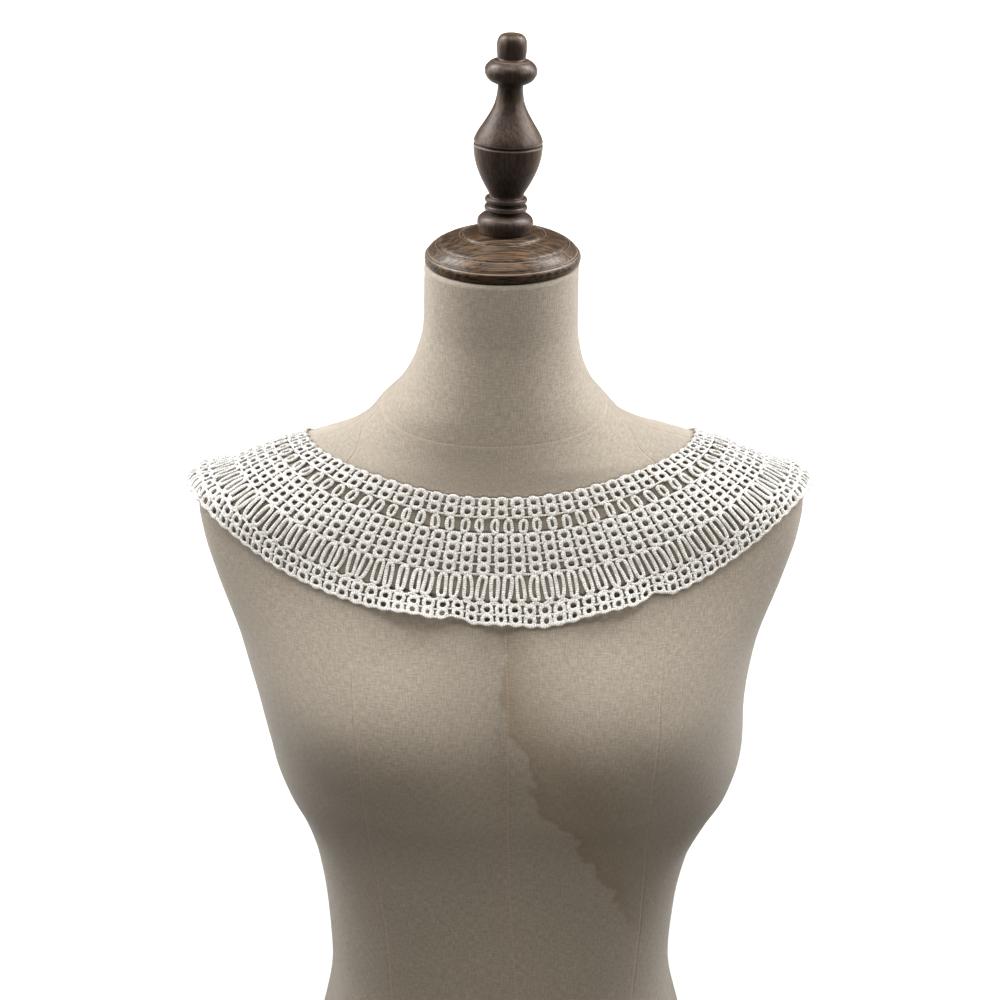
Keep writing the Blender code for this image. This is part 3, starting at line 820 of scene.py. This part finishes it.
def plain_woven_linen():
    """Undyed linen, plain woven and pulled tight: matt, with uneven threads both ways, seams
    that show as thin pale stitched lines, and an old water stain."""
    material, tree, shader = new_material("plain_woven_linen")
    cloth = put(tree, "ShaderNodeUVMap", uv_map="cloth").outputs[0]
    # Real threads are about 0.6 mm apart. They are drawn 0.85 mm apart, so that they show.
    thread = 0.85 * MM
    slub = 5 * MM
    across = put(
        tree,
        "ShaderNodeVectorMath",
        {0: cloth, 1: (1 / thread, 1 / slub, 1)},
        operation="MULTIPLY",
    )
    down = put(
        tree,
        "ShaderNodeVectorMath",
        {0: cloth, 1: (1 / slub, 1 / thread, 1)},
        operation="MULTIPLY",
    )
    warp = put(
        tree,
        "ShaderNodeTexNoise",
        {"Vector": across.outputs[0], "Scale": 1.0, "Detail": 2.0, "Roughness": 0.6},
        noise_dimensions="2D",
    )
    weft = put(
        tree,
        "ShaderNodeTexNoise",
        {"Vector": down.outputs[0], "Scale": 1.0, "Detail": 2.0, "Roughness": 0.6},
        noise_dimensions="2D",
    )
    threads = put(
        tree, "ShaderNodeMath", {0: warp.outputs[0], 1: weft.outputs[0]}, operation="ADD"
    )
    shade = put(
        tree,
        "ShaderNodeMapRange",
        {"Value": threads.outputs[0], "From Min": 0.72, "From Max": 1.28},
    )
    base = put(
        tree,
        "ShaderNodeMix",
        {0: shade.outputs[0], 6: colour("#a1998f"), 7: colour("#b3aca2")},
        data_type="RGBA",
    )
    place = put(tree, "ShaderNodeTexCoord").outputs["Object"]
    cloud = put(
        tree,
        "ShaderNodeTexNoise",
        {"Vector": place, "Scale": 9.0, "Detail": 3.0, "Roughness": 0.55},
    )
    soil = put(
        tree,
        "ShaderNodeMapRange",
        {"Value": cloud.outputs[0], "From Min": 0.35, "From Max": 0.75, "To Max": 0.25},
    )
    soiled = put(
        tree,
        "ShaderNodeMix",
        {0: soil.outputs[0], 6: base.outputs[2], 7: colour("#a0978a")},
        data_type="RGBA",
    )
    # Slubs: the thicker places in a thread, which show as short pale flecks.
    thickest = put(
        tree, "ShaderNodeMath", {0: warp.outputs[0], 1: weft.outputs[0]}, operation="MAXIMUM"
    )
    fleck = put(
        tree,
        "ShaderNodeMapRange",
        {"Value": thickest.outputs[0], "From Min": 0.7, "From Max": 0.84, "To Max": 0.4},
    )
    flecked = put(
        tree,
        "ShaderNodeMix",
        {0: fleck.outputs[0], 6: soiled.outputs[2], 7: colour("#c4bfb6")},
        data_type="RGBA",
    )
    # Stain: a dry tide mark, faint, with a slightly darker scalloped rim.
    edge = put(tree, "ShaderNodeAttribute", attribute_name="stain").outputs["Fac"]
    fade = put(tree, "ShaderNodeAttribute", attribute_name="stain_fade").outputs["Fac"]
    ripple = put(
        tree,
        "ShaderNodeTexNoise",
        {"Vector": place, "Scale": 95.0, "Detail": 1.0, "Roughness": 0.5},
    )
    scallop = 4 * MM
    rippled = put(
        tree,
        "ShaderNodeMapRange",
        {
            "Value": ripple.outputs[0],
            "From Min": 0.25,
            "From Max": 0.75,
            "To Min": -scallop,
            "To Max": scallop,
        },
    )
    within = put(tree, "ShaderNodeMath", {0: edge, 1: rippled.outputs[0]}, operation="ADD")
    wet = put(
        tree,
        "ShaderNodeMapRange",
        {"Value": within.outputs[0], "From Min": -1.8 * MM, "From Max": 1.8 * MM, "To Max": fade},
    )
    tide = put(
        tree,
        "ShaderNodeMapRange",
        {
            "Value": within.outputs[0],
            "From Min": 1 * MM,
            "From Max": 10 * MM,
            "To Min": 0.42,
            "To Max": 0.28,
        },
    )
    strength = put(
        tree, "ShaderNodeMath", {0: wet.outputs[0], 1: tide.outputs[0]}, operation="MULTIPLY"
    )
    stained = put(
        tree,
        "ShaderNodeMix",
        {0: strength.outputs[0], 6: flecked.outputs[2], 7: colour("#887963")},
        data_type="RGBA",
    )
    # Seams: the thread shows as a faint pinkish dotted line in the fold.
    seam = put(tree, "ShaderNodeAttribute", attribute_name="seam").outputs["Fac"]
    parts = put(tree, "ShaderNodeSeparateXYZ", {0: cloth})
    run = put(
        tree, "ShaderNodeMath", {0: parts.outputs[0], 1: parts.outputs[1]}, operation="ADD"
    )
    stitch_length = 2.8 * MM
    stitch = put(
        tree,
        "ShaderNodeMath",
        {0: run.outputs[0], 1: 2 * math.pi / stitch_length},
        operation="MULTIPLY",
    )
    stitches = put(tree, "ShaderNodeMath", {0: stitch.outputs[0]}, operation="SINE")
    dotted = put(
        tree,
        "ShaderNodeMapRange",
        {
            "Value": stitches.outputs[0],
            "From Min": -0.4,
            "From Max": 0.4,
            "To Min": 0.1,
            "To Max": 0.5,
        },
    )
    stitch_line = put(
        tree,
        "ShaderNodeMapRange",
        {
            "Value": seam,
            "From Min": 0.15 * MM,
            "From Max": 0.75 * MM,
            "To Min": dotted.outputs[0],
            "To Max": 0.0,
        },
    )
    sewn = put(
        tree,
        "ShaderNodeMix",
        {0: stitch_line.outputs[0], 6: stained.outputs[2], 7: colour("#c8b5a8")},
        data_type="RGBA",
    )
    tree.links.new(sewn.outputs[2], shader.inputs["Base Color"])
    bump = put(
        tree,
        "ShaderNodeBump",
        {"Height": threads.outputs[0], "Strength": 0.4, "Distance": 0.28 * MM},
    )
    tree.links.new(bump.outputs[0], shader.inputs["Normal"])
    shader.inputs["Roughness"].default_value = 0.95
    shader.inputs["IOR"].default_value = 1.45
    shader.inputs["Specular IOR Level"].default_value = 0.25
    shader.inputs["Sheen Weight"].default_value = 0.25
    shader.inputs["Sheen Roughness"].default_value = 0.5
    return material


def corded_cotton():
    """Satin-stitched cotton cord, bleached: soft white with the thin shadows of threads that
    are wound across each cord."""
    material, tree, shader = new_material("corded_cotton")
    run = put(tree, "ShaderNodeAttribute", attribute_name="run").outputs["Fac"]
    place = put(tree, "ShaderNodeTexCoord").outputs["Object"]
    # Real threads are about 0.25 mm apart. They are drawn 1.5 mm apart, so that they show.
    winding = 1.5 * MM
    wander = put(tree, "ShaderNodeTexNoise", {"Vector": place, "Scale": 900.0, "Detail": 1.0})
    turn = put(
        tree,
        "ShaderNodeMath",
        {0: run, 1: 2 * math.pi / winding},
        operation="MULTIPLY",
    )
    shifted = put(
        tree,
        "ShaderNodeMath",
        {0: wander.outputs[0], 1: 9.0, 2: turn.outputs[0]},
        operation="MULTIPLY_ADD",
    )
    wound = put(tree, "ShaderNodeMath", {0: shifted.outputs[0]}, operation="SINE")
    speckle = put(tree, "ShaderNodeTexNoise", {"Vector": place, "Scale": 420.0, "Detail": 2.0})
    shade = put(
        tree,
        "ShaderNodeMapRange",
        {"Value": wound.outputs[0], "From Min": -1.0, "From Max": 0.2},
    )
    base = put(
        tree,
        "ShaderNodeMix",
        {0: shade.outputs[0], 6: colour("#d2d0cc"), 7: colour("#f6f5f3")},
        data_type="RGBA",
    )
    tint = put(
        tree,
        "ShaderNodeMapRange",
        {"Value": speckle.outputs[0], "From Min": 0.48, "From Max": 0.75, "To Max": 0.6},
    )
    mixed = put(
        tree,
        "ShaderNodeMix",
        {0: tint.outputs[0], 6: base.outputs[2], 7: colour("#cdcac5")},
        data_type="RGBA",
    )
    tree.links.new(mixed.outputs[2], shader.inputs["Base Color"])
    bump = put(
        tree,
        "ShaderNodeBump",
        {"Height": wound.outputs[0], "Strength": 0.4, "Distance": 0.3 * MM},
    )
    tree.links.new(bump.outputs[0], shader.inputs["Normal"])
    shader.inputs["Roughness"].default_value = 0.8
    shader.inputs["IOR"].default_value = 1.5
    shader.inputs["Specular IOR Level"].default_value = 0.15
    shader.inputs["Sheen Weight"].default_value = 0.2
    shader.inputs["Sheen Roughness"].default_value = 0.5
    return material


def varnished_walnut(name, stretch, dark, light, gold, gold_amount, front):
    """Turned walnut, stained dark and varnished: streaks along the grain, warm patches where the
    stain is thin, ridge and groove edges painted paler, partly for thinned varnish and partly as a
    painted highlight, and soft wide highlights."""
    material, tree, shader = new_material(name)
    place = put(tree, "ShaderNodeTexCoord").outputs["Object"]
    grain_width = 1.6 * MM
    scaled = put(
        tree,
        "ShaderNodeVectorMath",
        {0: place, 1: tuple(s / grain_width for s in stretch)},
        operation="MULTIPLY",
    )
    grain = put(
        tree,
        "ShaderNodeTexNoise",
        {
            "Vector": scaled.outputs[0],
            "Scale": 1.0,
            "Detail": 5.0,
            "Roughness": 0.65,
            "Distortion": 0.4,
        },
    )
    dark_grain = put(
        tree,
        "ShaderNodeMapRange",
        {"Value": grain.outputs[0], "From Min": 0.41, "From Max": 0.61},
    )
    base = put(
        tree,
        "ShaderNodeMix",
        {0: dark_grain.outputs[0], 6: colour(dark), 7: colour(light)},
        data_type="RGBA",
    )
    cloud = put(
        tree,
        "ShaderNodeTexNoise",
        {"Vector": place, "Scale": 38.0, "Detail": 3.0, "Roughness": 0.6},
    )
    ahead = put(tree, "ShaderNodeSeparateXYZ", {0: place}).outputs[1]
    to_front = put(
        tree,
        "ShaderNodeMapRange",
        {"Value": ahead, "From Min": front[0], "From Max": front[1], "To Min": 1.0, "To Max": 0.0},
    )
    patches = put(
        tree,
        "ShaderNodeMapRange",
        {"Value": cloud.outputs[0], "From Min": 0.4, "From Max": 0.62, "To Max": gold_amount},
    )
    streaks = put(
        tree,
        "ShaderNodeMath",
        {0: patches.outputs[0], 1: dark_grain.outputs[0]},
        operation="MULTIPLY",
    )
    golden = put(
        tree,
        "ShaderNodeMath",
        {0: streaks.outputs[0], 1: to_front.outputs[0]},
        operation="MULTIPLY",
    )
    warm = put(
        tree,
        "ShaderNodeMix",
        {0: golden.outputs[0], 6: base.outputs[2], 7: colour(gold)},
        data_type="RGBA",
    )
    # Ridges and groove edges painted paler (#9a8d82): partly thinned varnish, partly a painted
    # highlight.
    thin_varnish_and_highlight = put(tree, "ShaderNodeAttribute", attribute_name="thin_varnish_and_highlight").outputs["Fac"]
    varnish_and_highlight_share = put(
        tree,
        "ShaderNodeMapRange",
        {"Value": thin_varnish_and_highlight, "From Min": 0.25, "From Max": 1.0, "To Max": 0.75},
    )
    edges = put(
        tree,
        "ShaderNodeMix",
        {0: varnish_and_highlight_share.outputs[0], 6: warm.outputs[2], 7: colour("#9a8d82")},
        data_type="RGBA",
    )
    tree.links.new(edges.outputs[2], shader.inputs["Base Color"])
    rough = put(
        tree,
        "ShaderNodeMapRange",
        {
            "Value": grain.outputs[0],
            "From Min": 0.3,
            "From Max": 0.7,
            "To Min": 0.42,
            "To Max": 0.58,
        },
    )
    tree.links.new(rough.outputs[0], shader.inputs["Roughness"])
    bump = put(
        tree,
        "ShaderNodeBump",
        {"Height": grain.outputs[0], "Strength": 0.25, "Distance": 0.3 * MM},
    )
    tree.links.new(bump.outputs[0], shader.inputs["Normal"])
    shader.inputs["IOR"].default_value = 1.5
    shader.inputs["Coat Weight"].default_value = 0.28
    shader.inputs["Coat Roughness"].default_value = 0.27
    shader.inputs["Coat IOR"].default_value = 1.5
    return material


def pale_floor():
    """Matt white studio paper."""
    material, tree, shader = new_material("white_paper")
    place = put(tree, "ShaderNodeTexCoord").outputs["Object"]
    fibre = put(tree, "ShaderNodeTexNoise", {"Vector": place, "Scale": 40.0, "Detail": 2.0})
    tone = put(
        tree,
        "ShaderNodeMix",
        {0: fibre.outputs[0], 6: colour("#b4b4b3"), 7: colour("#b9b9b8")},
        data_type="RGBA",
    )
    tree.links.new(tone.outputs[2], shader.inputs["Base Color"])
    shader.inputs["Roughness"].default_value = 0.95
    return material


def dress(piece, material):
    piece.data.materials.clear()
    piece.data.materials.append(material)
    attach(piece, "root")


def softbox(name, place, aim, size, power, tint=(1, 1, 1)):
    """A rectangular studio light, turned to a point."""
    light = bpy.data.lights.new(name, "AREA")
    light.shape = "RECTANGLE"
    light.size, light.size_y = size
    light.energy = power
    light.color = tint
    made = bpy.data.objects.new(name, light)
    made.location = place
    made.rotation_euler = (Vector(aim) - Vector(place)).to_track_quat("-Z", "Y").to_euler()
    bpy.context.scene.collection.objects.link(made)
    return made


def light_only(light, pieces):
    """Keeps a light off everything but these pieces."""
    lit = bpy.data.collections.new("lit_by_" + light.name)
    for piece in pieces:
        lit.objects.link(piece)
    light.light_linking.receiver_collection = lit


# Pieces

strip = DrapedStrip()
cotton = corded_cotton()
bands = []
for make, start, end in (
    (upper_lace, 0, UPPER_END),
    (middle_lace, UPPER_END, MIDDLE_END),
    (lower_lace, MIDDLE_END, HEM),
):
    band = make(strip)
    bands.append(band)
    dress(band, cotton)
    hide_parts("collar_left", "collar_right")
    cut_size(strip, start, end)

cover = linen_cover()
dress(cover, plain_woven_linen())
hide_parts("torso")

cap = turned("turned_cap", CAP_OUTLINE, CAP_THIN_VARNISH_AND_HIGHLIGHT, 128, cap_place)
dress(
    cap,
    varnished_walnut(
        "varnished_walnut_cap", (0.07, 1, 1), "#33291f", "#7d6a58", "#775630", 0.95, (-0.045, 0.03)
    ),
)
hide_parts("neck_cap")

finial = turned("turned_finial", FINIAL_OUTLINE, FINIAL_THIN_VARNISH_AND_HIGHLIGHT, 96, finial_place)
dress(
    finial,
    varnished_walnut(
        "varnished_walnut_finial", (1, 1, 0.12), "#4f433d", "#69594e", "#7b6147", 0.45, (0.02, 0.3)
    ),
)
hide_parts("finial")

# Floor, lights and camera

CAMERA_PLACE = (-0.65 * MM, -1477.26 * MM, 1180.2 * MM)
CAMERA_PITCH = 67
FLOOR_SIDE = 60

bpy.ops.mesh.primitive_plane_add(size=FLOOR_SIDE, location=(0, 0, 0))
floor = bpy.context.object
floor.name = "floor"
floor.data.materials.append(pale_floor())
floor.visible_diffuse = False

world = bpy.data.worlds.new("studio")
world.use_nodes = True
world.node_tree.nodes["Background"].inputs[0].default_value = (1, 1, 1, 1)
world.node_tree.nodes["Background"].inputs[1].default_value = 0.01
bpy.context.scene.world = world

softbox("overhead_softbox", (0, -0.5, 2.4), (0, 0, 0.5), (1.0, 0.7), 14.5)
low = softbox("low_softbox", (0, -2.2, 0.25), (0, 0, 0.3), (1.6, 0.4), 28.5, (1, 0.965, 0.91))
for side in (-1, 1):
    softbox("side_softbox", (side * 1.1, -0.3, 1.3), (0, 0, 0.6), (0.6, 0.6), 6.9)
    softbox("back_softbox", (side, 0.42, 1.0), (0, 0, 0.62), (0.5, 0.7), 4.6)
    softbox("rim_softbox", (side, 0.3, 1.35), (0, 0, 0.62), (0.5, 0.5), 2.1)
    high = softbox("high_rim_softbox", (side * 0.8, 0.35, 1.7), (0, 0, 0.6), (0.6, 0.6), 15.2)
    light_only(high, [floor, cover, cap, finial])
    faint = softbox("lace_rim_softbox", (side * 0.8, 0.35, 1.7), (0, 0, 0.6), (0.6, 0.6), 5)
    light_only(faint, bands)
backdrop = softbox("backdrop_softbox", (0, 5.2, 3.4), (0, 5.2, 0), (10, 8.4), 900)
backdrop.data.spread = math.radians(60)
light_only(backdrop, [floor])
light_only(low, [floor, cover, *bands])

lens = bpy.data.cameras.new("camera")
lens.sensor_width = 36
lens.lens = 36 * 2.4615
lens.clip_end = 200
camera = bpy.data.objects.new("camera", lens)
camera.location = frame_shift() + CAMERA_PLACE
camera.rotation_euler = (math.radians(CAMERA_PITCH), 0, 0)
bpy.context.scene.collection.objects.link(camera)
bpy.context.scene.camera = camera
bpy.context.scene.view_settings.view_transform = "Standard"
bpy.context.scene.view_settings.gamma = 0.7
